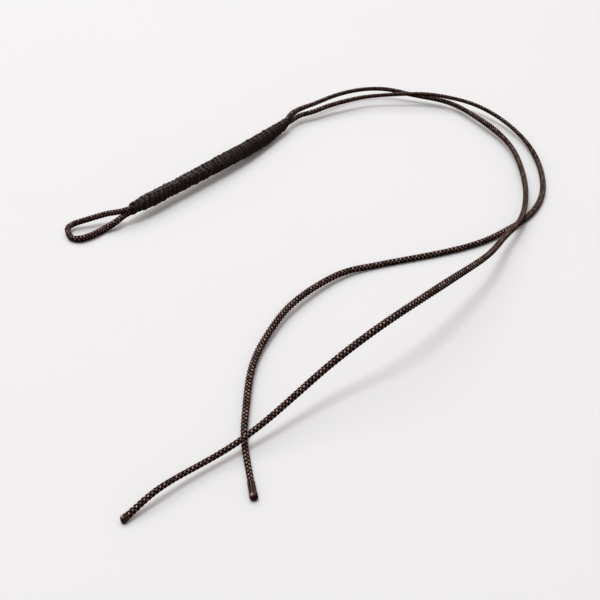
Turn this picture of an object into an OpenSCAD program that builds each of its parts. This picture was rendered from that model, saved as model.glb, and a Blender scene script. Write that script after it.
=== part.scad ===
// Whipped cord lanyard: one braided cord folded in half, bound by a long whipping.
// Millimetres, +Z up, resting on Z = 0.

/* [Cord] */
// Diameter of the braided cord
cord_d = 1.5; // [1.2:0.1:1.8]
// Diameter of each leg where the whipping grips it
grip_d = 1.05; // [0.85:0.05:1.3]
// Length over which the loop opens from its gripped to its full diameter
loop_taper = 4; // [3:0.5:8]
// Length over which a tail opens from its gripped to its full diameter
tail_taper = 12; // [10:1:30]
// Diameter of the inner tail at its sealed end
inner_end_d = 1.2; // [1:0.05:1.5]
// Diameter of the outer tail at its sealed end
outer_end_d = 1.35; // [1:0.05:1.5]
// Length over which a tail narrows to its sealed end
end_taper = 45; // [20:5:60]

/* [Whipping] */
// Diameter of the whipping thread
thread_d = 0.76; // [0.6:0.02:0.9]
// Distance from one turn to the next
thread_pitch = 1.2; // [1.16:0.02:1.6]
// Whole turns that the two legs twist round each other under the thread
leg_twists = 2; // [1:1:3]
// Clearance between pieces that are pressed together
fit = 0.02; // [0.01:0.01:0.05]

/* [Sealed ends] */
// Widest diameter of the inner tail's melted bead
inner_bead_d = 1.4; // [1.2:0.05:1.8]
// Widest diameter of the outer tail's melted bead
outer_bead_d = 1.6; // [1.4:0.05:1.9]
// Length of a melted bead
bead_length = 1.7; // [1.2:0.1:2.5]

/* [Hidden] */

cord_brown = [0.13, 0.085, 0.065];
thread_black = [0.055, 0.05, 0.05];
melt_brown = [0.1, 0.06, 0.045];

cord_sides = 8;
thread_sides = 6;
turn_rings = 8;
leg_rings = 25;
tuck_rings = 13;
// Half the width of the table that the beads are cut by
table = 200;

// Moves every route so that the origin is under the middle of the whole lanyard
centring = [0.4, 0.1, 0];

// Routes. The first two numbers of a point are millimetres along X and Y. The third is the
// height of the cord's centre in cord diameters: 0.4 lies on the table, cut flat by a tenth
// of a diameter, and a cord that crosses another is at least 1.05 above it.
whipping_route = [
    [-43.5, 16, 2.2], [-35, 25, 2.2], [-26, 35, 2.1], [-16.5, 46.5, 1.7],
    [-11.5, 53.5, 1.5], [-7.5, 59, 1.7]
];
loop_route = [
    [-45.5, 15, 2.4], [-48.5, 15, 2], [-51.5, 14.5, 1.6], [-54.5, 13.5, 1.3],
    [-56.5, 13, 1], [-58, 11.5, 0.8], [-57.5, 9.5, 0.6], [-56.5, 8, 0.4],
    [-55, 7.5, 0.4], [-53.5, 8, 0.4], [-51.5, 9.5, 0.4], [-49.5, 11.5, 0.6],
    [-47, 13, 1.2], [-45, 15, 1.6]
];
inner_route = [
    [-6, 62, 2.2], [-4, 64.5, 2.3], [-0.5, 67, 2.4], [5, 71.5, 2.4], [10.5, 75, 2.3],
    [16, 77, 2.1], [21.5, 77, 1.9], [27, 75.5, 1.5], [35, 73, 1.2], [39, 70, 1.2],
    [43, 64.5, 1.3], [47.5, 57, 1.3], [51, 47.5, 1.3], [52, 37, 1.4], [51.5, 26.5, 1.5],
    [50, 18.5, 1.6], [47.5, 11.5, 1.9], [43.5, 4.5, 2.7], [38.5, -5.5, 4.3], [30.5, -17, 6.2],
    [20.5, -29.5, 7.9], [12, -37.5, 7.6], [4.5, -43, 5.9], [-2.5, -49, 4.2],
    [-9.5, -55.5, 2.6], [-16, -61, 1.6], [-23.5, -67, 1.4], [-30, -73, 1.4],
    [-32, -75, 1], [-33.5, -76.5, 0.65]
];
outer_route = [
    [-5.5, 61.5, 1.4], [-3.5, 63.5, 1.5], [-0.5, 65, 1.6], [3.5, 67.5, 1.8], [8.5, 70, 2],
    [13.5, 72, 2.1], [19, 73, 2.2], [24, 73, 2.4], [32.5, 72.5, 2.5], [37, 71.5, 2.3],
    [42, 70, 1.9], [47.5, 65.5, 1.6], [52, 59, 1.3], [55.5, 50.5, 1], [57, 42, 0.8],
    [57, 33.5, 0.5], [55.5, 26, 0.4], [52.5, 19.5, 0.4], [49, 15, 0.4], [44.5, 11, 0.4],
    [40, 7.5, 0.4], [34.5, 4.5, 0.4], [23.5, 0.5, 0.4], [12.5, -3, 0.5], [7, -5.5, 0.8],
    [2, -9.5, 1], [-2.5, -14.5, 1.2], [-6.5, -20, 1.2], [-9.5, -26, 1],
    [-12, -32.5, 0.8], [-13.5, -40, 0.8], [-14, -49, 0.7], [-14, -58, 0.6],
    [-13, -65, 0.4], [-12, -71, 0.52]
];

// Small helpers
function unit(v) = v / norm(v);
function last(list) = list[len(list) - 1];
function mix(a, b, t) = a + (b - a) * t;
function clamp01(t) = min(1, max(0, t));
function lifted(route) = [for (p = route) centring + [p.x, p.y, p.z * cord_d]];

// Distance along a list of points, up to each point
function run_lengths(points, i = 0, sum = 0) = i >= len(points) ? [] :
    let (s = i == 0 ? 0 : sum + norm(points[i] - points[i - 1]))
    concat([s], run_lengths(points, i + 1, s));

// Directions at the points of an open route, with the two end directions given
function directions(points, first_dir, last_dir) = let (n = len(points) - 1)
    [for (i = [0:n]) i == 0 ? first_dir : i == n ? last_dir :
        unit(unit(points[i + 1] - points[i]) + unit(points[i] - points[i - 1]))];

// One ring of a tube: the reference vector settles how its corners are turned
function ring(centre, dir, ref, r, sides) =
    let (side = unit(cross(dir, ref)), up = cross(side, dir))
    [for (k = [0:sides - 1]) let (a = (k + 0.5) * 360 / sides)
        centre + r * (cos(a) * side + sin(a) * up)];

// The table cuts every ring flat at Z = 0
function cut_flat(points) = [for (p = points) [p.x, p.y, max(0, p.z)]];

// Triangles of a tube of several rings, closed by a fan at each end
function tube_faces(rings, sides) = concat(
    [for (i = [0:rings - 2], k = [0:sides - 1], half = [0, 1])
        let (a = i * sides + k, b = i * sides + (k + 1) % sides)
        half == 0 ? [a, b, b + sides] : [a, b + sides, a + sides]],
    [for (k = [1:sides - 2]) [0, k + 1, k]],
    [for (k = [1:sides - 2]) let (z = (rings - 1) * sides) [z, z + k, z + k + 1]]
);

module tube(centres, dirs, refs, radii, sides) {
    points = [for (i = [0:len(centres) - 1]) each
        ring(centres[i], dirs[i], refs[i], radii[i], sides)];
    polyhedron(cut_flat(points), tube_faces(len(centres), sides));
}

// A cord whose corners keep level: every ring takes +Z as its reference
module cord(centres, dirs, radii) {
    tube(centres, dirs, [for (p = centres) [0, 0, 1]], radii, cord_sides);
}

// The whipping's axis: a smooth curve through its route, and its frame
axis_points = lifted(whipping_route);
axis_spans = len(axis_points) - 1;
function axis_knot(i) =
    i < 0 ? 2 * axis_points[0] - axis_points[1] :
    i > axis_spans ? 2 * axis_points[axis_spans] - axis_points[axis_spans - 1] :
    axis_points[i];
function axis_at(t) =
    let (x = clamp01(t) * axis_spans, i = min(axis_spans - 1, floor(x)), u = x - i,
        a = axis_knot(i - 1), b = axis_knot(i), c = axis_knot(i + 1), d = axis_knot(i + 2))
    0.5 * (2 * b + (c - a) * u + (2 * a - 5 * b + 4 * c - d) * u * u
        + (3 * b - a - 3 * c + d) * u * u * u);
function axis_dir(t) =
    unit(axis_at(min(1, t + 0.01)) - axis_at(max(0, t - 0.01)));

// Even steps along the axis: a table of parameters by arc length
axis_steps = 120;
axis_table = run_lengths([for (i = [0:axis_steps]) axis_at(i / axis_steps)]);
whip_length = last(axis_table);
function axis_t(s) = lookup(s, [for (i = [0:axis_steps]) [axis_table[i], i / axis_steps]]);
function axis_frame(s) = let (t = axis_t(s), dir = axis_dir(t), side = unit(cross(dir, [0, 0, 1])))
    [axis_at(t), dir, side, cross(side, dir)];
// A point off the axis, by distance along it, radius and angle
function off_axis(s, r, a) = let (f = axis_frame(s)) f[0] + r * (cos(a) * f[2] + sin(a) * f[3]);
function outwards(s, a) = let (f = axis_frame(s)) cos(a) * f[2] + sin(a) * f[3];

// What the whipping holds: two legs side by side, and the buried thread in the groove
grip_r = grip_d / 2;
leg_step = 360 * leg_twists / (leg_rings - 1);
leg_offset = (grip_r + fit / 2) / cos(leg_step / 2);
core_r = leg_offset + grip_r;
groove_r = (leg_offset * leg_offset + core_r * core_r - grip_r * grip_r) / (2 * (core_r + grip_r));
tuck_r = min(thread_d / 2, groove_r - fit);
tuck_offset = core_r - tuck_r;
// The upper leg starts on top and the legs twist evenly
function leg_angle(s) = 90 + 360 * leg_twists * s / whip_length;
function groove_angle(s) = leg_angle(s) + 90;

// The wound thread: its flat chords still clear the core
thread_r = thread_d / 2;
wind_r = (core_r + fit + thread_r) / cos(180 / turn_rings);
wind_start = thread_r + fit;
wind_end = whip_length - thread_r - fit;
wind_length = wind_end - wind_start;
legs_turn = (leg_angle(wind_end) - leg_angle(wind_start)) / 360;
turns = round(wind_length / thread_pitch - legs_turn) + legs_turn;
wind_rings = ceil(turns * turn_rings);
dive_r = wind_r - thread_d;
wind_places = concat(
    [[wind_start, dive_r, groove_angle(wind_start)]],
    [for (i = [0:wind_rings]) let (u = i / wind_rings)
        [mix(wind_start, wind_end, u), wind_r, groove_angle(wind_start) + 360 * turns * u]],
    [[wind_end, dive_r, groove_angle(wind_end)]]
);
wind_centres = [for (w = wind_places) off_axis(w[0], w[1], w[2])];
wind_outwards = [for (w = wind_places) outwards(w[0], w[2])];
wind_last = len(wind_centres) - 1;
wind_dirs = directions(wind_centres, wind_outwards[0], -wind_outwards[wind_last]);
// A ring at the corner of a dive takes the axis as its reference, because it faces outwards
wind_refs = [for (i = [0:wind_last]) axis_frame(wind_places[i][0])[1]];

// Least gap of the wound thread to itself, between ring centres over half a turn apart
skip = turn_rings / 2 + 1;
wind_gap = min([for (i = [0:wind_last - skip], j = [i + skip:wind_last])
    norm(wind_centres[i] - wind_centres[j])]) - thread_d;
echo(str("whipping: ", round(turns * 10) / 10, " turns, ", whip_length,
    " mm long, least gap to itself ", wind_gap, " mm"));

// Free stretches of cord, each starting or ending face to face with a gripped leg
near_dir = axis_frame(0)[1];
far_dir = axis_frame(whip_length)[1];
function leg_end(s, turned) = off_axis(s, leg_offset, leg_angle(s) + turned);

loop_centres = concat([leg_end(0, 0)], lifted(loop_route), [leg_end(0, 180)]);
loop_runs = run_lengths(loop_centres);
loop_dirs = directions(loop_centres, -near_dir, near_dir);
loop_radii = [for (s = loop_runs) mix(grip_r, cord_d / 2,
    clamp01(min(s, last(loop_runs) - s) / loop_taper))];

function tail_centres(route, turned) =
    concat([leg_end(whip_length, turned)], lifted(route));
function end_dir(route) = let (p = lifted(route), n = len(p) - 1) unit(p[n] - p[n - 1]);
function tail_radii(centres, end_d) = let (runs = run_lengths(centres))
    [for (s = runs) min(
        mix(grip_r, cord_d / 2, clamp01(s / tail_taper)),
        mix(end_d / 2, cord_d / 2, clamp01((last(runs) - s) / end_taper)))];

module tail(route, turned, end_d) {
    centres = tail_centres(route, turned);
    cord(centres, directions(centres, far_dir, end_dir(route)), tail_radii(centres, end_d));
}

// One leg under the whipping
module leg(turned) {
    places = [for (i = [0:leg_rings - 1]) whip_length * i / (leg_rings - 1)];
    centres = [for (s = places) leg_end(s, turned)];
    cord(centres, directions(centres, near_dir, far_dir), [for (s = places) grip_r]);
}

// A buried end of the thread, lying in the groove between the legs
module tuck(from, to) {
    places = [for (i = [0:tuck_rings - 1]) mix(from, to, i / (tuck_rings - 1))];
    centres = [for (s = places) off_axis(s, tuck_offset, groove_angle(s))];
    tube(centres, directions(centres, axis_frame(from)[1], axis_frame(to)[1]),
        [for (s = places) outwards(s, groove_angle(s))], [for (s = places) tuck_r], thread_sides);
}

// A melted bead: swells from the cord's end to its widest, then closes in a dome
module bead(route, end_d, bead_d) {
    dir = end_dir(route);
    neck = bead_length - bead_d / 2;
    above_table()
        translate(last(lifted(route)))
            rotate([0, acos(dir.z), atan2(dir.y, dir.x)])
                rotate_extrude($fn = 32)
                    intersection() {
                        union() {
                            polygon([[0, 0], [end_d / 2, 0], [bead_d / 2, neck], [0, neck]]);
                            translate([0, neck]) circle(d = bead_d, $fn = 32);
                        }
                        square(2 * bead_length);
                    }
}

// Keeps the part of a shape that is over the table
module above_table() {
    intersection() {
        children();
        translate([-table, -table, 0]) cube([2 * table, 2 * table, table]);
    }
}

module loop() { color(cord_brown) cord(loop_centres, loop_dirs, loop_radii); }
module upper_leg() { color(cord_brown) leg(0); }
module lower_leg() { color(cord_brown) leg(180); }
module inner_tail() { color(cord_brown) tail(inner_route, 0, inner_end_d); }
module outer_tail() { color(cord_brown) tail(outer_route, 180, outer_end_d); }
module inner_tail_tip() { color(melt_brown) bead(inner_route, inner_end_d, inner_bead_d); }
module outer_tail_tip() { color(melt_brown) bead(outer_route, outer_end_d, outer_bead_d); }
module whipping() {
    color(thread_black)
        tube(wind_centres, wind_dirs, wind_refs, [for (w = wind_centres) thread_r], thread_sides);
}
module thread_start() {
    color(thread_black) tuck(wind_start + thread_r + fit, (whip_length - thread_d) / 2);
}
module thread_finish() {
    color(thread_black) tuck((whip_length + thread_d) / 2, wind_end - thread_r - fit);
}

loop();
upper_leg();
lower_leg();
inner_tail();
outer_tail();
inner_tail_tip();
outer_tail_tip();
whipping();
thread_start();
thread_finish();
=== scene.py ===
"""The look of a whipped cord lanyard: a braided cord folded double, its loop and its
loose tails, and the long thread whipping that binds the two legs."""
import math

import bmesh
import bpy
import numpy as np
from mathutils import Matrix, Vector


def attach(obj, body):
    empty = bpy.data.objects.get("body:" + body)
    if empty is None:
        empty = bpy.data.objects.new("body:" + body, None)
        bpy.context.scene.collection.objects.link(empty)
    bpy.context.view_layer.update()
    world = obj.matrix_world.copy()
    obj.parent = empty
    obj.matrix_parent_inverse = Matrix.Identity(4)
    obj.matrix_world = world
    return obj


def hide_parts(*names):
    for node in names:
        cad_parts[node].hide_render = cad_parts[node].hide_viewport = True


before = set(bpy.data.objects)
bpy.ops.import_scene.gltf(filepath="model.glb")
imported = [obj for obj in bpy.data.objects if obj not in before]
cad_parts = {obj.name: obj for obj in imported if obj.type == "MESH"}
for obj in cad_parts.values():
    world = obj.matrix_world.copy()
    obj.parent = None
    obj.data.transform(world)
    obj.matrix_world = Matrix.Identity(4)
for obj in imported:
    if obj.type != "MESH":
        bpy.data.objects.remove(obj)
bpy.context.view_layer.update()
MM = 0.001
BODY = "root"

# ---------------------------------------------------------------- sizes, in metres
CORD_WIDTH = 1.5 * MM
BEAD_LENGTH = 1.7 * MM
# Each melted end: where it begins, onwards from the end of its route, its widths, how its
# face is cut, and how bright its painted streak highlights and its painted rim highlight are
INNER_END = {
    "back": 0.2 * MM,
    "neck": 1.26 * MM,
    "width": 1.42 * MM,
    "slant": -0.22,
    "streaks": 0.25,
    "shine": 0.75,
}
OUTER_END = {
    "back": -2.4 * MM,
    "neck": 1.38 * MM,
    "width": 1.6 * MM,
    "slant": -0.1,
    "streaks": 0.42,
    "shine": 0.9,
}
# How far the braid goes on into a melted end, at least
SEALED_LENGTH = 0.2 * MM
# How high a cord's centre stays over the table, at least, as a share of its half width
SETTLED_SHARE = 0.97
STRAND_COUNT = 8
# Half the distance between the two legs, where the whipping ends
LEG_OFFSET = 0.555 * MM
# How far the braid goes on under the whipping
TUCKED_LENGTH = 1.5 * MM
LINE_STEP = 0.25 * MM
BRAID_STEP = 0.13 * MM
BRAID_SEED = 7
LOOP_TURN = 3.0 * MM
INNER_TURN = 3.6 * MM
OUTER_TURN = 3.9 * MM
WHIPPING_STEP = 0.04 * MM
WHIPPING_SIDES = 12

# Widths in millimetres as (distance from the whipping, width). The soft braid is drawn in
# where it is gripped or pulled round a bend, and opens where it lies slack.
LOOP_WIDTHS = [
    (0, 1.3), (2, 1.5), (20, 1.5), (22, 1.75), (30, 1.75), (35, 1.5), (37, 1.3),
]
INNER_WIDTHS = [
    (0, 1.3), (2, 1.5), (4, 1.75), (6, 1.6), (10, 1.3), (30, 1.2), (45, 1.4), (60, 1.4),
    (70, 1.7), (80, 1.4), (110, 1.4), (140, 1.5), (160, 1.8), (170, 1.7), (190, 1.6),
    (200, 1.5), (215, 1.3), (230, 1.2), (240, 1.4),
]
OUTER_WIDTHS = [
    (0, 1.3), (2, 1.5), (20, 1.35), (30, 1.15), (60, 1.15), (75, 1.2), (85, 1.4),
    (110, 1.6), (125, 1.5), (150, 1.5), (180, 1.6), (210, 1.6), (220, 1.5), (230, 1.35),
]
WHIPPING_WIDTHS = [
    (0, 2.5), (2, 2.8), (4, 3.4), (8, 3.6), (15, 3.6), (30, 3.9), (40, 3.9), (48, 3.6),
    (52, 3), (56, 2.5),
]

# ---------------------------------------------------------------- routes
# Points along X and Y in millimetres, and the height of the centre in cord diameters.
# The routes lie where the solid cords lie, centred over the origin in the same way.
CENTRING = Vector((0.4, 0.1, 0)) * MM
WHIPPING_ROUTE = [
    (-43.5, 16, 2.2), (-35, 25, 2.2), (-26, 35, 2.1), (-16.5, 46.5, 1.7),
    (-11.5, 53.5, 1.5), (-7.5, 59, 1.7),
]
LOOP_ROUTE = [
    (-45.5, 15, 2.4), (-48.5, 15, 2), (-51.5, 14.5, 1.6), (-54.5, 13.5, 1.3),
    (-56.5, 13, 1), (-58, 11.5, 0.8), (-57.5, 9.5, 0.6), (-56.5, 8, 0.4),
    (-55, 7.5, 0.4), (-53.5, 8, 0.4), (-51.5, 9.5, 0.4), (-49.5, 11.5, 0.6),
    (-47, 13, 1.2), (-45, 15, 1.6),
]
INNER_ROUTE = [
    (-6, 62, 2.2), (-4, 64.5, 2.3), (-0.5, 67, 2.4), (5, 71.5, 2.4), (10.5, 75, 2.3),
    (16, 77, 2.1), (21.5, 77, 1.9), (27, 75.5, 1.5), (35, 73, 1.2), (39, 70, 1.2),
    (43, 64.5, 1.3), (47.5, 57, 1.3), (51, 47.5, 1.3), (52, 37, 1.4), (51.5, 26.5, 1.5),
    (50, 18.5, 1.6), (47.5, 11.5, 1.9), (43.5, 4.5, 2.7), (38.5, -5.5, 4.3), (30.5, -17, 6.2),
    (20.5, -29.5, 7.9), (12, -37.5, 7.6), (4.5, -43, 5.9), (-2.5, -49, 4.2),
    (-9.5, -55.5, 2.6), (-16, -61, 1.6), (-23.5, -67, 1.4), (-30, -73, 1.4),
    (-32, -75, 1), (-33.5, -76.5, 0.65),
]
OUTER_ROUTE = [
    (-5.5, 61.5, 1.4), (-3.5, 63.5, 1.5), (-0.5, 65, 1.6), (3.5, 67.5, 1.8), (8.5, 70, 2),
    (13.5, 72, 2.1), (19, 73, 2.2), (24, 73, 2.4), (32.5, 72.5, 2.5), (37, 71.5, 2.3),
    (42, 70, 1.9), (47.5, 65.5, 1.6), (52, 59, 1.3), (55.5, 50.5, 1), (57, 42, 0.8),
    (57, 33.5, 0.5), (55.5, 26, 0.4), (52.5, 19.5, 0.4), (49, 15, 0.4), (44.5, 11, 0.4),
    (40, 7.5, 0.4), (34.5, 4.5, 0.4), (23.5, 0.5, 0.4), (12.5, -3, 0.5), (7, -5.5, 0.8),
    (2, -9.5, 1), (-2.5, -14.5, 1.2), (-6.5, -20, 1.2), (-9.5, -26, 1),
    (-12, -32.5, 0.8), (-13.5, -40, 0.8), (-14, -49, 0.7), (-14, -58, 0.6),
    (-13, -65, 0.4), (-12, -71, 0.52),
]


# ---------------------------------------------------------------- routes made smooth
def slopes_through(points, gaps, first_way, last_way):
    """Slopes of the cubic curve through the points whose bend never jumps."""
    count = len(points)
    matrix = np.zeros((count, count))
    aims = np.zeros((count, 3))
    matrix[0, 0] = 1
    matrix[-1, -1] = 1
    aims[0] = first_way
    aims[-1] = last_way
    for i in range(1, count - 1):
        before = 1 / gaps[i - 1]
        after = 1 / gaps[i]
        matrix[i, i - 1 : i + 2] = before, 2 * (before + after), after
        step_in = (points[i] - points[i - 1]) * before**2
        step_out = (points[i + 1] - points[i]) * after**2
        aims[i] = 3 * (step_in + step_out)
    return np.linalg.solve(matrix, aims)


def smooth_line(points, first_way, last_way):
    """Closely spaced points on the smooth curve through the given ones."""
    points = np.array(points)
    gaps = np.linalg.norm(np.diff(points, axis=0), axis=1)
    slopes = slopes_through(points, gaps, first_way, last_way)
    line = [points[0]]
    for i, gap in enumerate(gaps):
        steps = math.ceil(gap / LINE_STEP)
        for k in range(1, steps + 1):
            u = k / steps
            line.append(
                (1 + 2 * u) * (1 - u) ** 2 * points[i]
                + u * (1 - u) ** 2 * gap * slopes[i]
                + u * u * (3 - 2 * u) * points[i + 1]
                + u * u * (u - 1) * gap * slopes[i + 1]
            )
    return [Vector(p) for p in line]


def distances(line):
    """Distance along a line, at each of its points."""
    found = [0.0]
    for a, b in zip(line, line[1:]):
        found.append(found[-1] + (b - a).length)
    return found


def raised(route):
    """A route in metres, centred over the origin."""
    return [CENTRING + Vector((x * MM, y * MM, z * CORD_WIDTH)) for x, y, z in route]


def between(profile, distance):
    """The value at a distance in a profile of (distance, value) pairs."""
    return float(np.interp(distance, *zip(*profile)))


def leg_ends(end, way):
    """Where the upper and the lower leg come out at one end of the whipping."""
    side = way.cross(Vector((0, 0, 1))).normalized()
    top = side.cross(way) * LEG_OFFSET
    return end + top, end - top


# ---------------------------------------------------------------- camera
# It looks down at the table, with the lanyard's far bend at the top.
CAMERA_PLACE = Vector((-3.2, -211.3, 153.9)) * MM
CAMERA_PITCH = 38
CAMERA_LENS = 69
CAMERA_NEAR = 10 * MM
CAMERA_FAR = 20


def place_camera():
    data = bpy.data.cameras.new("studio_camera")
    data.lens = CAMERA_LENS
    data.clip_start = CAMERA_NEAR
    data.clip_end = CAMERA_FAR
    camera = bpy.data.objects.new("studio_camera", data)
    camera.location = CAMERA_PLACE
    camera.rotation_euler = (math.radians(90 - CAMERA_PITCH), 0, 0)
    bpy.context.collection.objects.link(camera)
    bpy.context.scene.camera = camera


# ---------------------------------------------------------------- node trees
class Field:
    """A socket of a node tree. Adding or scaling it adds the node that does so."""

    def __init__(self, tree, socket):
        self.tree = tree
        self.socket = socket

    def __add__(self, other):
        return reckon(self.tree, "ADD", self, other)

    def __sub__(self, other):
        return reckon(self.tree, "SUBTRACT", self, other)

    def __rsub__(self, other):
        return reckon(self.tree, "SUBTRACT", other, self)

    def __mul__(self, other):
        return reckon(self.tree, "MULTIPLY", self, other)

    def __truediv__(self, other):
        return reckon(self.tree, "DIVIDE", self, other)

    def __mod__(self, other):
        return reckon(self.tree, "MODULO", self, other)

    def apply(self, operation, *others):
        return reckon(self.tree, operation, self, *others)

    __radd__ = __add__
    __rmul__ = __mul__


def feed(tree, socket, value):
    """Links a field to a socket, or sets the socket to a plain value."""
    if isinstance(value, Field):
        tree.links.new(value.socket, socket)
    else:
        socket.default_value = value


def add_node(tree, kind, inputs=(), **settings):
    """A new node. inputs maps a socket's name or number to a field or value."""
    node = tree.nodes.new(kind)
    for name, value in settings.items():
        setattr(node, name, value)
    for name, value in dict(inputs).items():
        feed(tree, node.inputs[name], value)
    return node


def result(tree, kind, inputs=(), output=0, **settings):
    """A new node's output, as a field."""
    node = add_node(tree, kind, inputs, **settings)
    return Field(tree, node.outputs[output])


def reckon(tree, operation, *values):
    """The Math node that does an operation on fields and numbers."""
    return result(tree, "ShaderNodeMath", enumerate(values), operation=operation)


def vector(tree, operation, *values, scale=1.0):
    """The Vector Math node that does an operation on fields and vectors."""
    node = add_node(tree, "ShaderNodeVectorMath", enumerate(values), operation=operation)
    if operation == "SCALE":
        feed(tree, node.inputs["Scale"], scale)
    return Field(tree, node.outputs[0])


def new_tree(name, kind, inputs, outputs):
    """A node tree with named inputs and outputs: (name, socket type, first value)."""
    tree = bpy.data.node_groups.new(name, kind)
    for label, socket_type, first in inputs:
        socket = tree.interface.new_socket(label, in_out="INPUT", socket_type=socket_type)
        if first is not None:
            socket.default_value = first
    for label, socket_type in outputs:
        tree.interface.new_socket(label, in_out="OUTPUT", socket_type=socket_type)
    enter = tree.nodes.new("NodeGroupInput")
    leave = tree.nodes.new("NodeGroupOutput")
    given = {s.name: Field(tree, s) for s in enter.outputs if s.name}
    return tree, given, leave


def split_xyz(tree, field):
    node = add_node(tree, "ShaderNodeSeparateXYZ", {0: field})
    return [Field(tree, socket) for socket in node.outputs]


def join_xyz(tree, x, y, z):
    return result(tree, "ShaderNodeCombineXYZ", {"X": x, "Y": y, "Z": z})


def smooth_noise(tree, place):
    """Smooth noise from 0 to 1 along one dimension."""
    inputs = {"W": place, "Scale": 1.0, "Detail": 0.0}
    return result(tree, "ShaderNodeTexNoise", inputs, noise_dimensions="1D")


def chance(tree, number, seed):
    """A random value from 0 to 1 that each whole number keeps."""
    inputs = {"ID": number, "Seed": seed}
    return result(tree, "FunctionNodeRandomValue", inputs, output=1, data_type="FLOAT")


def keep(tree, geometry, fields):
    """Keeps fields on a geometry's points, so that they still hold once it changes shape."""
    node = add_node(
        tree, "GeometryNodeCaptureAttribute", {"Geometry": geometry}, domain="POINT"
    )
    for label, (kind, field) in fields.items():
        node.capture_items.new(kind, label)
        feed(tree, node.inputs[label], field)
    kept = {label: Field(tree, node.outputs[label]) for label in fields}
    return Field(tree, node.outputs["Geometry"]), kept


def store(tree, geometry, name, value, kind="FLOAT"):
    """Names a field on a geometry, for the materials to read."""
    inputs = {"Geometry": geometry, "Name": name, "Value": value}
    return result(tree, "GeometryNodeStoreNamedAttribute", inputs, data_type=kind)


# ---------------------------------------------------------------- wound and braided trees
# The share of a strand's crest light that is gone at its edges: painted shade in the grooves
# between strands
EDGE_SHADE = 0.8
# The whipping's pitch changes along the first 1 / PITCH_RATE of its length
PITCH_RATE = 1.6
# Smooth noises along the whipping: how fast each one changes in a turn, and where it starts
UNEVEN_RATE = 1.7
SHADE_RATE = 0.8
SHADE_START = 40
SWAY_RATE = 2.3
SWAY_START = 90
# The thread's crest light away from its knots, which get painted highlights, and on the
# whipping's sides and underneath, which get painted shade, as shares of its highest
TURN_CREST = 0.75
SHADED_SIDE_CREST = 0.25

ROUTE_INPUTS = [
    ("Route", "NodeSocketGeometry", None),
    ("Step", "NodeSocketFloat", 0.2 * MM),
    ("Profile Sides", "NodeSocketInt", 6),
    ("Material", "NodeSocketMaterial", None),
]


def wound_route(tree, given, advance_of):
    """The route as an even curve, with its frame and the turns wound so far.

    advance_of gives the distance that one whole turn takes, from the share of the length.
    """
    curve = result(tree, "GeometryNodeMeshToCurve", {"Mesh": given["Route"]})
    curve = result(
        tree,
        "GeometryNodeResampleCurve",
        {"Curve": curve, "Length": given["Step"]},
        mode="LENGTH",
    )
    curve = result(tree, "GeometryNodeSetCurveNormal", {"Curve": curve}, mode="Z_UP")
    half_width = result(
        tree, "GeometryNodeInputNamedAttribute", {"Name": "half_width"}, data_type="FLOAT"
    )
    share = result(tree, "GeometryNodeSplineParameter", output="Factor")
    spline = add_node(tree, "GeometryNodeSplineLength")
    gaps = Field(tree, spline.outputs["Point Count"]) - 1
    step = Field(tree, spline.outputs["Length"]) / gaps
    advance = advance_of(share)
    turns = result(
        tree,
        "GeometryNodeAccumulateField",
        {"Value": step / advance},
        output="Trailing",
        data_type="FLOAT",
    )
    return keep(
        tree,
        curve,
        {
            "half width": ("FLOAT", half_width),
            "advance": ("FLOAT", advance),
            "turns": ("FLOAT", turns),
            "way": ("VECTOR", result(tree, "GeometryNodeInputTangent")),
            "side": ("VECTOR", result(tree, "GeometryNodeInputNormal")),
        },
    )


def spoke_at(tree, at, turns):
    """The direction off the route, turned from its side towards its top."""
    angle = turns * math.tau
    top = vector(tree, "CROSS_PRODUCT", at["side"], at["way"])
    across = vector(tree, "SCALE", at["side"], scale=angle.apply("COSINE"))
    up = vector(tree, "SCALE", top, scale=angle.apply("SINE"))
    return vector(tree, "ADD", across, up)


def moved(tree, curve, at, spoke, radius, along=0.0):
    """The curve moved out along its spokes and on along the route."""
    out = vector(tree, "SCALE", spoke, scale=radius)
    on = vector(tree, "SCALE", at["way"], scale=along)
    offset = vector(tree, "ADD", out, on)
    return result(
        tree, "GeometryNodeSetPosition", {"Geometry": curve, "Offset": offset}
    )


def swept(tree, curve, given, spoke, size, thickness, width, marks):
    """A strand along a curve, flat side out, with what its material reads.

    "fibre" holds the distances along and across the strand, and "crest" fades to its edges.
    """
    curve = result(
        tree,
        "GeometryNodeSetCurveNormal",
        {"Curve": curve, "Normal": spoke},
        mode="FREE",
    )
    length = result(tree, "GeometryNodeSplineParameter", output="Length")
    curve, strand = keep(tree, curve, {"along": ("FLOAT", length)})
    profile = result(
        tree,
        "GeometryNodeCurvePrimitiveCircle",
        {"Resolution": given["Profile Sides"], "Radius": 1.0},
    )
    place = result(tree, "GeometryNodeInputPosition")
    profile, rim = keep(tree, profile, {"place": ("VECTOR", place)})
    profile = result(
        tree,
        "GeometryNodeTransform",
        {"Geometry": profile, "Scale": join_xyz(tree, thickness / 2, width / 2, 1.0)},
    )
    mesh = result(
        tree,
        "GeometryNodeCurveToMesh",
        {"Curve": curve, "Profile Curve": profile, "Scale": size, "Fill Caps": True},
    )
    across = split_xyz(tree, rim["place"])[1]
    fibre = join_xyz(tree, strand["along"], across, 0.0)
    mesh = store(tree, mesh, "fibre", fibre, "FLOAT_VECTOR")
    # The crest is painted light; fading it towards the strand's edges paints shade in its
    # grooves
    mesh = store(tree, mesh, "crest", marks["crest"] * (1 - across * across * EDGE_SHADE))
    return store(tree, mesh, "shade", marks["shade"])


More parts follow.
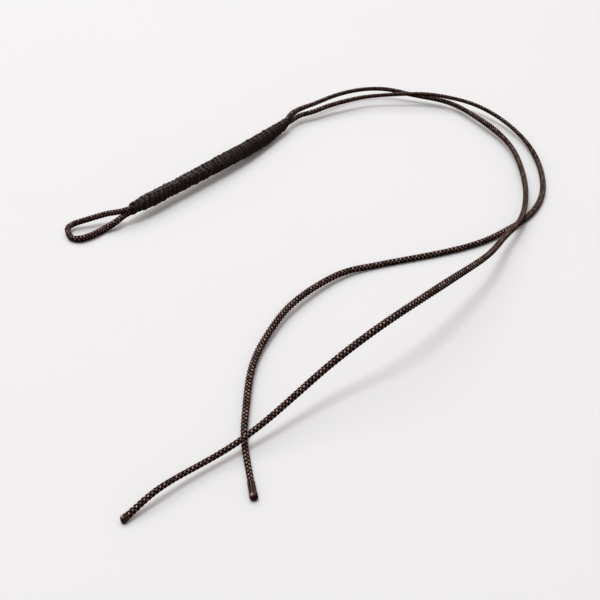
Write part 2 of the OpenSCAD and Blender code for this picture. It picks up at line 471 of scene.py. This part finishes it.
def end_tree(tree, leave, mesh, given):
    """Presses flat what would go into the table, then ends as every tree here ends."""
    x, y, z = split_xyz(tree, result(tree, "GeometryNodeInputPosition"))
    place = join_xyz(tree, x, y, z.apply("MAXIMUM", 0.0))
    mesh = result(tree, "GeometryNodeSetPosition", {"Geometry": mesh, "Position": place})
    mesh = result(tree, "GeometryNodeSetShadeSmooth", {"Geometry": mesh})
    mesh = result(tree, "GeometryNodeRealizeInstances", {"Geometry": mesh})
    finish = {"Geometry": mesh, "Material": given["Material"]}
    feed(tree, leave.inputs["Mesh"], result(tree, "GeometryNodeSetMaterial", finish))


def braid_tree():
    """A tubular braid. Half of its strands wind one way and half the other, and each goes
    over and under those that it meets, so it crests at every second crossing."""
    tree, given, leave = new_tree(
        "tubular_braid",
        "GeometryNodeTree",
        ROUTE_INPUTS
        + [
            ("Seed", "NodeSocketInt", 1),
            ("Strands", "NodeSocketInt", 8),
            ("Turn Length", "NodeSocketFloat", 3.9 * MM),
            ("Strand Width", "NodeSocketFloat", 0.72),
            ("Strand Thickness", "NodeSocketFloat", 0.46),
            ("Wave Height", "NodeSocketFloat", 0.36),
            ("First Angle", "NodeSocketFloat", 1 / 16),
        ],
        [("Mesh", "NodeSocketGeometry")],
    )
    strands = given["Strands"]
    curve, at = wound_route(tree, given, lambda share: given["Turn Length"])
    copies = add_node(
        tree,
        "GeometryNodeDuplicateElements",
        {"Geometry": curve, "Amount": strands},
        domain="SPLINE",
    )
    curve, number = (Field(tree, socket) for socket in copies.outputs)
    hand = 1 - 2 * (number % 2)
    first = (number / 2).apply("FLOOR") / (strands / 2) + given["First Angle"]
    crests = at["turns"] * strands / 2
    wave = (crests * math.tau).apply("COSINE") * hand
    lift = wave * (1.5 - wave * wave / 2)
    crest_number = (crests + (hand + 1) / 4).apply("FLOOR") * strands + number
    shade = chance(tree, crest_number, given["Seed"])
    spoke = spoke_at(tree, at, at["turns"] * hand + first)
    # Painted light from above: strands on top are lit, strands underneath get painted shade,
    # and within that the crests get painted highlights and the dives painted shade
    painted_top_light = split_xyz(tree, spoke)[2] / 2 + 0.5
    crest = (lift / 2 + 0.5) * painted_top_light
    curve, strand = keep(tree, curve, {"crest": ("FLOAT", crest), "shade": ("FLOAT", shade)})
    curve, facing = keep(tree, curve, {"spoke": ("VECTOR", spoke)})
    middle = 1 - given["Strand Thickness"] / 2 - given["Wave Height"] / 2
    reach = at["half width"] * (middle + lift * given["Wave Height"] / 2)
    curve = moved(tree, curve, at, facing["spoke"], reach)
    mesh = swept(
        tree,
        curve,
        given,
        facing["spoke"],
        at["half width"],
        given["Strand Thickness"],
        given["Strand Width"],
        strand,
    )
    end_tree(tree, leave, mesh, given)
    return tree


def whipping_tree():
    """A thread wound close round the route. Every turn is a half hitch: it crosses over
    itself in a knot, and the knots climb round the whipping as a ridge."""
    tree, given, leave = new_tree(
        "hitched_whipping",
        "GeometryNodeTree",
        ROUTE_INPUTS
        + [
            ("First Pitch", "NodeSocketFloat", 1.55 * MM),
            ("Last Pitch", "NodeSocketFloat", 1.0 * MM),
            ("Start", "NodeSocketFloat", 0.5),
            ("Thread Width", "NodeSocketFloat", 1.04),
            ("Thread Thickness", "NodeSocketFloat", 0.78),
            ("Ridge Start", "NodeSocketFloat", 0.3),
            ("Ridge Advance", "NodeSocketFloat", -0.01),
            ("Hitch Height", "NodeSocketFloat", 0.26 * MM),
            ("Hitch Reach", "NodeSocketFloat", 0.12),
            ("Hitch Slant", "NodeSocketFloat", 1.3),
            ("Unevenness", "NodeSocketFloat", 0.34 * MM),
            ("Sway", "NodeSocketFloat", 0.45),
        ],
        [("Mesh", "NodeSocketGeometry")],
    )
    first, final = given["First Pitch"], given["Last Pitch"]

    def advance_of(share):
        return first + (final - first) * (share * PITCH_RATE).apply("MINIMUM", 1.0)

    curve, at = wound_route(tree, given, advance_of)
    around = at["turns"] + given["Start"]
    ridge = given["Ridge Start"] + at["turns"] * given["Ridge Advance"]
    from_ridge = (around - ridge + 0.5).apply("FRACT") - 0.5
    reach = (from_ridge / given["Hitch Reach"]).apply("MINIMUM", 1).apply("MAXIMUM", -1)
    rise = 1 - reach * reach
    hitch = rise * rise
    uneven = (smooth_noise(tree, at["turns"] * UNEVEN_RATE) - 0.5) * given["Unevenness"]
    shade = smooth_noise(tree, at["turns"] * SHADE_RATE + SHADE_START)
    spoke = spoke_at(tree, at, around)
    # Painted light from above: the whipping's top is lit, its sides and underside get painted
    # shade, and its knots get painted highlights
    painted_top_light = split_xyz(tree, spoke)[2].apply("MAXIMUM", 0.0)
    knotted = TURN_CREST + hitch * (1 - TURN_CREST)
    crest = knotted * (SHADED_SIDE_CREST + painted_top_light * painted_top_light * (1 - SHADED_SIDE_CREST))
    curve, thread = keep(
        tree, curve, {"crest": ("FLOAT", crest), "shade": ("FLOAT", shade)}
    )
    curve, facing = keep(tree, curve, {"spoke": ("VECTOR", spoke)})
    buried = at["advance"] * given["Thread Thickness"] / 2
    radius = at["half width"] - buried + hitch * given["Hitch Height"] + uneven
    slant = reach * hitch * given["Hitch Slant"] * at["advance"] * -1
    swing = smooth_noise(tree, at["turns"] * SWAY_RATE + SWAY_START) - 0.5
    sway = swing * given["Sway"]
    along = slant + sway * at["advance"]
    curve = moved(tree, curve, at, facing["spoke"], radius, along)
    mesh = swept(
        tree,
        curve,
        given,
        facing["spoke"],
        at["advance"],
        given["Thread Thickness"],
        given["Thread Width"],
        thread,
    )
    end_tree(tree, leave, mesh, given)
    return tree


def grown(name, tree, line, half_widths, settings):
    """A plain mesh object that a tree makes along a line."""
    mesh = bpy.data.meshes.new("route_line")
    mesh.from_pydata(line, [(i, i + 1) for i in range(len(line) - 1)], [])
    widths = mesh.attributes.new("half_width", "FLOAT", "POINT")
    widths.data.foreach_set("value", half_widths)
    host = bpy.data.objects.new("route_host", mesh)
    bpy.context.collection.objects.link(host)
    modifier = host.modifiers.new("grow", "NODES")
    modifier.node_group = tree
    sockets = [s for s in tree.interface.items_tree if s.in_out == "INPUT"]
    names = {socket.name: socket.identifier for socket in sockets}
    for label, value in settings.items():
        modifier[names[label]] = value
    evaluated = host.evaluated_get(bpy.context.evaluated_depsgraph_get())
    piece = bpy.data.objects.new(name, bpy.data.meshes.new_from_object(evaluated))
    host.modifiers.remove(modifier)
    bpy.data.objects.remove(host)
    piece.data.name = name
    bpy.context.collection.objects.link(piece)
    return piece


# ---------------------------------------------------------------- shader groups
# How many times the streaks are raised before they scale the light
STREAK_GAIN = 1.6
# Painted shade between a twisted thread's plies: its crest there, as a share of that on their
# crowns
PLY_VALLEY_SHADE = 0.25


def blended(tree, share, first, second):
    """A colour between two, by a share from 0 to 1."""
    factor, colour_a, colour_b, mixed = 0, 6, 7, 2
    inputs = {factor: share, colour_a: first, colour_b: second}
    return result(tree, "ShaderNodeMix", inputs, output=mixed, data_type="RGBA")


def fibre_group():
    """Fine filaments that run along a strand: a mask of streaks and the relief."""
    tree, given, leave = new_tree(
        "fibre_grain",
        "ShaderNodeTree",
        [
            ("Fibre", "NodeSocketVector", None),
            ("Length Scale", "NodeSocketFloat", 600.0),
            ("Filaments", "NodeSocketFloat", 5.0),
            ("Relief", "NodeSocketFloat", 0.5),
            ("Depth", "NodeSocketFloat", 0.00003),
        ],
        [("Streak", "NodeSocketFloat"), ("Normal", "NodeSocketVector")],
    )
    along, across, third = split_xyz(tree, given["Fibre"])
    place = join_xyz(
        tree,
        along * given["Length Scale"],
        across * given["Filaments"],
        third * given["Filaments"],
    )
    inputs = {"Vector": place, "Scale": 1.0, "Detail": 3.0, "Roughness": 0.6}
    streak = result(tree, "ShaderNodeTexNoise", inputs)
    bump = {"Strength": given["Relief"], "Distance": given["Depth"], "Height": streak}
    feed(tree, leave.inputs["Streak"], streak)
    feed(tree, leave.inputs["Normal"], result(tree, "ShaderNodeBump", bump))
    return tree


def strand_group():
    """A strand's colour: painted shade where it dives, painted highlight on crests, with
    streaks.
    """
    tree, given, leave = new_tree(
        "strand_shade",
        "ShaderNodeTree",
        [
            ("Crest", "NodeSocketFloat", 0.5),
            ("Shade", "NodeSocketFloat", 0.5),
            ("Streak", "NodeSocketFloat", 0.5),
            ("Evenness", "NodeSocketFloat", 0.5),
            ("Sharpness", "NodeSocketFloat", 2.5),
            ("Gain", "NodeSocketFloat", 1.0),
            ("Dark And Shade Colour", "NodeSocketColor", None),
            ("Highlight Colour", "NodeSocketColor", None),
        ],
        [("Colour", "NodeSocketColor"), ("Light", "NodeSocketFloat")],
    )
    evenness = given["Evenness"]
    chosen = evenness + (1 - evenness) * given["Shade"]
    streaked = evenness + (1 - evenness) * given["Streak"] * STREAK_GAIN
    lit = given["Crest"].apply("POWER", given["Sharpness"]) * given["Gain"]
    light = lit.apply("MINIMUM", 1.0) * chosen * streaked
    colour = blended(
        tree, light.apply("MINIMUM", 1.0), given["Dark And Shade Colour"], given["Highlight Colour"]
    )
    feed(tree, leave.inputs["Colour"], colour)
    feed(tree, leave.inputs["Light"], light)
    return tree


def ply_group():
    """The plies that a thread is twisted from: a mask, a painted highlight on each ply's
    crown.
    """
    tree, given, leave = new_tree(
        "ply_twist",
        "ShaderNodeTree",
        [
            ("Fibre", "NodeSocketVector", None),
            ("Ply Length", "NodeSocketFloat", 0.6 * MM),
            ("Slant", "NodeSocketFloat", 0.55),
        ],
        [("Crown", "NodeSocketFloat")],
    )
    along, across, third = split_xyz(tree, given["Fibre"])
    turns = along / given["Ply Length"] + across * given["Slant"]
    crown = (turns * math.tau).apply("SINE") / 2 + 0.5
    feed(tree, leave.inputs["Crown"], crown)
    return tree


# ---------------------------------------------------------------- materials
# Each pair runs from the material's own dark, with painted shade in dives, grooves and
# undersides, to a painted highlight colour for lit crests and tops
CORD_DARK_AND_SHADE = (0.01, 0.0022, 0.0014, 1)
CORD_HIGHLIGHT = (0.68, 0.48, 0.43, 1)
THREAD_DARK_AND_SHADE = (0.0095, 0.005, 0.0045, 1)
THREAD_HIGHLIGHT = (0.235, 0.175, 0.165, 1)
MELT_DARK_AND_SHADE = (0.014, 0.003, 0.003, 1)
MELT_HIGHLIGHT = (0.58, 0.38, 0.33, 1)
TABLE_COLOUR = (0.822, 0.806, 0.811, 1)
# On a piece with no strands: the scale of its fibre direction, and of the noises that stand
# in for the crest's painted light and for shade
PLAIN_SCALE = (900, 900, 900)
PLAIN_CREST_SCALE = 2.0
PLAIN_SHADE_SCALE = 0.3
# Scales of the melted ends' blisters and streaks, and of the table's mottles
BLISTER_SCALE = 2200.0
MELT_STREAK_SCALE = (3, 1500, 3)
MOTTLE_SCALE = 30.0
# How many times paler the palest mottle is, how rough the table is, and how much is added
MOTTLE_GAIN = 1.015
TABLE_ROUGHNESS = 0.85
MOTTLE_ROUGHNESS = 0.1


def attribute(tree, name, output):
    return result(tree, "ShaderNodeAttribute", output=output, attribute_name=name)


def object_place(tree):
    return result(tree, "ShaderNodeTexCoord", output="Object")


def placed_group(tree, group, settings):
    """A shader group in a material, with its outputs as fields by name."""
    node = tree.nodes.new("ShaderNodeGroup")
    node.node_tree = group
    for label, value in settings.items():
        feed(tree, node.inputs[label], value)
    return {socket.name: Field(tree, socket) for socket in node.outputs}


def new_material(name, fixed):
    """A material with one Principled shader, whose fixed values are set on its sockets."""
    material = bpy.data.materials.new(name)
    material.use_nodes = True
    tree = material.node_tree
    shader = tree.nodes["Principled BSDF"]
    for label, value in fixed.items():
        shader.inputs[label].default_value = value
    return material, tree, shader


def set_surface(tree, shader, shaded, grained, gloss):
    """Feeds a shader. gloss gives some of its values for the deep and for the lit parts."""
    light = shaded["Light"].apply("MINIMUM", 1.0)
    for label, (deep, lit) in gloss.items():
        feed(tree, shader.inputs[label], deep + (lit - deep) * light)
    feed(tree, shader.inputs["Base Color"], shaded["Colour"])
    feed(tree, shader.inputs["Normal"], grained["Normal"])


def strand_material(name, groups, fixed, grain, colours, gloss, plain=None, plied=False):
    """Cord or thread. plain gives the fibre direction scale of a piece with no strands."""
    material, tree, shader = new_material(name, fixed)
    if plain is None:
        fibre = attribute(tree, "fibre", "Vector")
        crest = attribute(tree, "crest", "Fac")
        shade = attribute(tree, "shade", "Fac")
    else:
        fibre = vector(tree, "MULTIPLY", object_place(tree), plain)
        crest, shade = (
            result(tree, "ShaderNodeTexNoise", {"Vector": fibre, "Scale": scale})
            for scale in (PLAIN_CREST_SCALE, PLAIN_SHADE_SCALE)
        )
    grained = placed_group(tree, groups["fibre"], {"Fibre": fibre, **grain})
    if plied:
        crown = placed_group(tree, groups["ply"], {"Fibre": fibre})["Crown"]
        crest = crest * (PLY_VALLEY_SHADE + (1 - PLY_VALLEY_SHADE) * crown)
    shaded = placed_group(
        tree,
        groups["strand"],
        {"Crest": crest, "Shade": shade, "Streak": grained["Streak"], **colours},
    )
    set_surface(tree, shader, shaded, grained, gloss)
    return material


def braided_nylon(groups, name="braided_nylon", plain=None):
    return strand_material(
        name,
        groups,
        {"Specular Tint": (1.0, 0.7, 0.6, 1)},
        {"Filaments": 4.0, "Relief": 0.6},
        {
            "Evenness": 0.2,
            "Sharpness": 5.0,
            "Gain": 3.6,
            "Dark And Shade Colour": CORD_DARK_AND_SHADE,
            "Highlight Colour": CORD_HIGHLIGHT,
        },
        {"Roughness": (0.8, 0.3), "Specular IOR Level": (0.03, 0.9)},
        plain,
    )


def waxed_thread(groups, name="waxed_thread", plain=None):
    return strand_material(
        name,
        groups,
        {"Specular Tint": (1.0, 0.78, 0.72, 1)},
        {"Length Scale": 2200.0, "Filaments": 3.0, "Relief": 0.8},
        {
            "Evenness": 0.1,
            "Sharpness": 2.2,
            "Gain": 2.2,
            "Dark And Shade Colour": THREAD_DARK_AND_SHADE,
            "Highlight Colour": THREAD_HIGHLIGHT,
        },
        {"Roughness": (0.75, 0.4), "Specular IOR Level": (0.05, 0.6)},
        plain,
        plied=True,
    )


def melted_nylon(groups):
    """Cord ends sealed by heat: dark, smooth and a little blistered, with painted light."""
    material, tree, shader = new_material(
        "melted_nylon", {"Specular Tint": (1.0, 0.7, 0.6, 1)}
    )
    place = object_place(tree)
    blister = result(
        tree, "ShaderNodeTexNoise", {"Vector": place, "Scale": BLISTER_SCALE, "Detail": 2.0}
    )
    grained = placed_group(
        tree,
        groups["fibre"],
        {
            "Fibre": vector(tree, "MULTIPLY", place, MELT_STREAK_SCALE),
            "Filaments": 1.0,
            "Relief": 0.35,
            "Depth": 0.00006,
        },
    )
    shaded = placed_group(
        tree,
        groups["strand"],
        {
            "Crest": attribute(tree, "crest", "Fac"),
            "Shade": blister,
            "Streak": grained["Streak"],
            "Evenness": 0.4,
            "Sharpness": 1.8,
            "Gain": 1.4,
            "Dark And Shade Colour": MELT_DARK_AND_SHADE,
            "Highlight Colour": MELT_HIGHLIGHT,
        },
    )
    gloss = {"Roughness": (0.6, 0.3), "Specular IOR Level": (0.05, 0.8)}
    set_surface(tree, shader, shaded, grained, gloss)
    return material


def pale_table():
    material, tree, shader = new_material("pale_table", {"Specular IOR Level": 0.1})
    mottle = result(
        tree,
        "ShaderNodeTexNoise",
        {"Vector": object_place(tree), "Scale": MOTTLE_SCALE, "Detail": 2.0},
    )
    paler = tuple(min(1.0, MOTTLE_GAIN * c) for c in TABLE_COLOUR)
    feed(tree, shader.inputs["Base Color"], blended(tree, mottle, TABLE_COLOUR, paler))
    feed(tree, shader.inputs["Roughness"], TABLE_ROUGHNESS + mottle * MOTTLE_ROUGHNESS)
    return material


# ---------------------------------------------------------------- melted ends
# A bead's width along its length, both as shares: the braid fades into a smooth dome.
BEAD_SHAPE = [(-0.25, 0), (0, 0.1), (0.3, 0.55), (0.55, 0.9), (0.7, 1)]
# The dome's depth as a share of the bead's width, and where round the bead its painted rim
# highlight lies
DOME_DEPTH = 0.3
SHINE_ANGLE = math.radians(65)
BEAD_SIDES = 60
BEAD_RINGS = 34
# The braid's ribs on a bead: their height as a share of its half width, how far their phase
# shifts from end to end in radians, and the share of their height that is gone at the tip
RIB_COUNT = 9
RIB_HEIGHT = 0.12
RIB_SHIFT = 2.0
RIB_FADE = 0.7
# Lumps round a bead, two of one kind and three of the other, as shares of its half width
TWO_LUMPS = 0.05
THREE_LUMPS = 0.035
# How blunt the dome is: 2 would make it an ellipse
DOME_POWER = 2.2
# The painted light of a bead between its ribs, and how far its painted rim highlight
# spreads along and round it
GROOVE_GLOW = 0.08
SHINE_LENGTH = 0.16 * BEAD_LENGTH
SHINE_SPREAD = 0.5
# Points of a bead that lie closer than this are merged
MERGE_DISTANCE = 0.002 * MM


def melted_end(name, end, way, material, back, neck, width, slant, streaks, shine):
    """Melted cord that swells from its neck, then closes in a flat and uneven dome."""
    side = way.cross(Vector((0, 0, 1))).normalized()
    top = side.cross(way)
    dome = DOME_DEPTH * width
    rim = BEAD_LENGTH - dome
    points = []
    crests = []
    for i in range(BEAD_RINGS):
        share = i / (BEAD_RINGS - 1)
        sweep = share * math.pi / 2
        along = back + (BEAD_LENGTH - back) * math.sin(sweep)
        swelling = between(BEAD_SHAPE, along / BEAD_LENGTH)
        half_width = (neck + (width - neck) * swelling) / 2
        over = max(0.0, along - rim) / dome
        half_width *= math.sqrt(max(0.0, 1 - over**DOME_POWER))
        for k in range(BEAD_SIDES):
            angle = math.tau * k / BEAD_SIDES
            fading = 1 - RIB_FADE * max(0.0, along / BEAD_LENGTH)
            ribbed = 0.5 + 0.5 * math.cos(RIB_COUNT * angle + RIB_SHIFT * share)
            rib = (ribbed - 0.5) * RIB_HEIGHT * fading
            lump = TWO_LUMPS * math.sin(2 * angle + slant)
            lump += THREE_LUMPS * math.sin(3 * angle - slant)
            reach = half_width * (1 + rib + lump * swelling)
            spoke = side * math.cos(angle) + top * math.sin(angle)
            cut = slant * swelling * reach * math.cos(angle - SHINE_ANGLE)
            point = end + way * (along + cut) + spoke * reach
            point.z = max(0.0, point.z)
            points.append(point)
            # Painted light: lighter on top and along the ribs, painted shade over the dome,
            # and a painted highlight on the rim
            top_lit_share = 0.5 + 0.5 * spoke.z
            glow = (GROOVE_GLOW + streaks * ribbed**3) * top_lit_share * (1 - over)
            off_rim = (along - rim) / SHINE_LENGTH
            off_shine = (angle - SHINE_ANGLE) / SHINE_SPREAD
            glint = shine * math.exp(-(off_rim**2) - off_shine**2)
            crests.append(min(1.0, max(0.0, glow + glint)))
    mesh = bpy.data.meshes.new(name)
    faces = [
        (
            i * BEAD_SIDES + k,
            i * BEAD_SIDES + (k + 1) % BEAD_SIDES,
            (i + 1) * BEAD_SIDES + (k + 1) % BEAD_SIDES,
            (i + 1) * BEAD_SIDES + k,
        )
        for i in range(BEAD_RINGS - 1)
        for k in range(BEAD_SIDES)
    ]
    mesh.from_pydata(points, [], faces)
    crest = mesh.attributes.new("crest", "FLOAT", "POINT")
    crest.data.foreach_set("value", crests)
    close_and_smooth(mesh)
    mesh.materials.append(material)
    piece = bpy.data.objects.new(name, mesh)
    bpy.context.collection.objects.link(piece)
    return piece


def close_and_smooth(mesh):
    """Merges the pole, closes the open end, turns every face outwards and smooths it."""
    work = bmesh.new()
    work.from_mesh(mesh)
    bmesh.ops.remove_doubles(work, verts=work.verts, dist=MERGE_DISTANCE)
    rim = [edge for edge in work.edges if edge.is_boundary]
    bmesh.ops.holes_fill(work, edges=rim)
    bmesh.ops.recalc_face_normals(work, faces=work.faces)
    for face in work.faces:
        face.smooth = True
    work.to_mesh(mesh)
    work.free()


# ---------------------------------------------------------------- the pieces
def half_widths_along(line, profile, start=0.0):
    """The half width at each point of a line, whose profile begins at a distance along it."""
    return [between(profile, (run - start) / MM) * MM / 2 for run in distances(line)]


def on_the_table(line, half_widths):
    """Lifts a line wherever the cord round it would reach into the table."""
    return [
        Vector((point.x, point.y, max(point.z, SETTLED_SHARE * half)))
        for point, half in zip(line, half_widths)
    ]


def make_cord(name, node, tree, material, route, first_way, last_way, profile, turn):
    """A free stretch of braid, which starts a little way inside the whipping."""
    held_twice = node == "loop"
    inside = route[0] - first_way * TUCKED_LENGTH
    points = [inside] + route
    if held_twice:
        points.append(route[-1] + last_way * TUCKED_LENGTH)
    line = smooth_line(points, first_way, last_way)
    half_widths = half_widths_along(line, profile, TUCKED_LENGTH)
    line = on_the_table(line, half_widths)
    settings = {"Step": BRAID_STEP, "Seed": BRAID_SEED, "Strands": STRAND_COUNT}
    settings.update({"Turn Length": turn, "Material": material})
    piece = grown(name, tree, line, half_widths, settings)
    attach(piece, BODY)
    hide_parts(node)


def make_whipping(line, material):
    half_widths = half_widths_along(line, WHIPPING_WIDTHS)
    settings = {
        "Step": WHIPPING_STEP,
        "Profile Sides": WHIPPING_SIDES,
        "Material": material,
    }
    piece = grown("thread_whipping", whipping_tree(), line, half_widths, settings)
    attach(piece, BODY)
    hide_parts("whipping")


def make_lanyard():
    groups = {"fibre": fibre_group(), "strand": strand_group(), "ply": ply_group()}
    nylon = braided_nylon(groups)
    melt = melted_nylon(groups)

    axis = raised(WHIPPING_ROUTE)
    near_way = (axis[1] - axis[0]).normalized()
    far_way = (axis[-1] - axis[-2]).normalized()
    near_upper, near_lower = leg_ends(axis[0], near_way)
    far_upper, far_lower = leg_ends(axis[-1], far_way)

    braid = braid_tree()
    loop_route = [near_upper, *raised(LOOP_ROUTE), near_lower]
    make_cord(
        "braided_loop",
        "loop",
        braid,
        nylon,
        loop_route,
        -near_way,
        near_way,
        LOOP_WIDTHS,
        LOOP_TURN,
    )
    inner = INNER_ROUTE, INNER_WIDTHS, INNER_TURN, INNER_END
    outer = OUTER_ROUTE, OUTER_WIDTHS, OUTER_TURN, OUTER_END
    for label, start, form in (("inner", far_upper, inner), ("outer", far_lower, outer)):
        route, profile, turn, melt_form = form
        points = [start, *raised(route)]
        last_way = (points[-1] - points[-2]).normalized()
        tip = points[-1]
        points[-1] = tip + last_way * max(0.0, melt_form["back"] + SEALED_LENGTH)
        make_cord(
            f"braided_{label}_tail",
            f"{label}_tail",
            braid,
            nylon,
            points,
            far_way,
            last_way,
            profile,
            turn,
        )
        piece = melted_end(f"{label}_melted_end", tip, last_way, melt, **melt_form)
        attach(piece, BODY)
        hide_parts(f"{label}_tail_tip")
    make_whipping(smooth_line(axis, near_way, far_way), waxed_thread(groups))
    cover_hidden_pieces(groups)


def cover_hidden_pieces(groups):
    """Gives the solid legs and the buried thread ends plain cord and thread materials."""
    gripped = braided_nylon(groups, "gripped_nylon", PLAIN_SCALE)
    buried = waxed_thread(groups, "buried_thread", PLAIN_SCALE)
    for node, material in (
        ("upper_leg", gripped),
        ("lower_leg", gripped),
        ("thread_start", buried),
        ("thread_finish", buried),
    ):
        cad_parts[node].data.materials.clear()
        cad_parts[node].data.materials.append(material)


# ---------------------------------------------------------------- table and light
TABLE_SIZE = 6.0
KEY_SIZE = 0.38
KEY_DISTANCE = 1.0
KEY_TILT = 11
KEY_POWER = 3.3
KEY_COLOUR = (0.81, 0.945, 1.0)
CEILING_SIZE = 1.3
CEILING_PLACE = (-0.2, 0.6, 1.15)
CEILING_POWER = 9.3
CEILING_COLOUR = (1.0, 0.955, 0.945)
SKY_LIGHT = 0.465
SKY_COLOUR = (1.0, 0.93, 0.9, 1)


def make_table():
    half = TABLE_SIZE / 2
    mesh = bpy.data.meshes.new("table")
    corners = [(-half, -half, 0), (half, -half, 0), (half, half, 0), (-half, half, 0)]
    mesh.from_pydata(corners, [], [(0, 1, 2, 3)])
    mesh.materials.append(pale_table())
    table = bpy.data.objects.new("table", mesh)
    bpy.context.collection.objects.link(table)


def area_light(name, shape, size, power, colour, place):
    """A soft light that shines at the origin."""
    data = bpy.data.lights.new(name, "AREA")
    data.color = colour
    data.shape = shape
    data.size = size
    data.energy = power
    light = bpy.data.objects.new(name, data)
    light.location = place
    light.rotation_euler = Vector(place).to_track_quat("Z", "Y").to_euler()
    bpy.context.collection.objects.link(light)


def make_sky():
    """A pale backdrop all round."""
    world = bpy.data.worlds.new("studio_sky")
    world.use_nodes = True
    sky = world.node_tree.nodes["Background"]
    sky.inputs["Color"].default_value = SKY_COLOUR
    sky.inputs["Strength"].default_value = SKY_LIGHT
    bpy.context.scene.world = world


def make_light():
    """A wide soft key overhead and a little to the left, and a softer ceiling of light."""
    tilt = math.radians(KEY_TILT)
    key_way = Vector((-math.sin(tilt), 0, math.cos(tilt)))
    key_place = key_way * KEY_DISTANCE
    area_light("key_light", "DISK", KEY_SIZE, KEY_POWER, KEY_COLOUR, key_place)
    area_light(
        "ceiling_light", "SQUARE", CEILING_SIZE, CEILING_POWER, CEILING_COLOUR, CEILING_PLACE
    )
    make_sky()
    bpy.context.scene.view_settings.view_transform = "Standard"


place_camera()
make_lanyard()
make_table()
make_light()
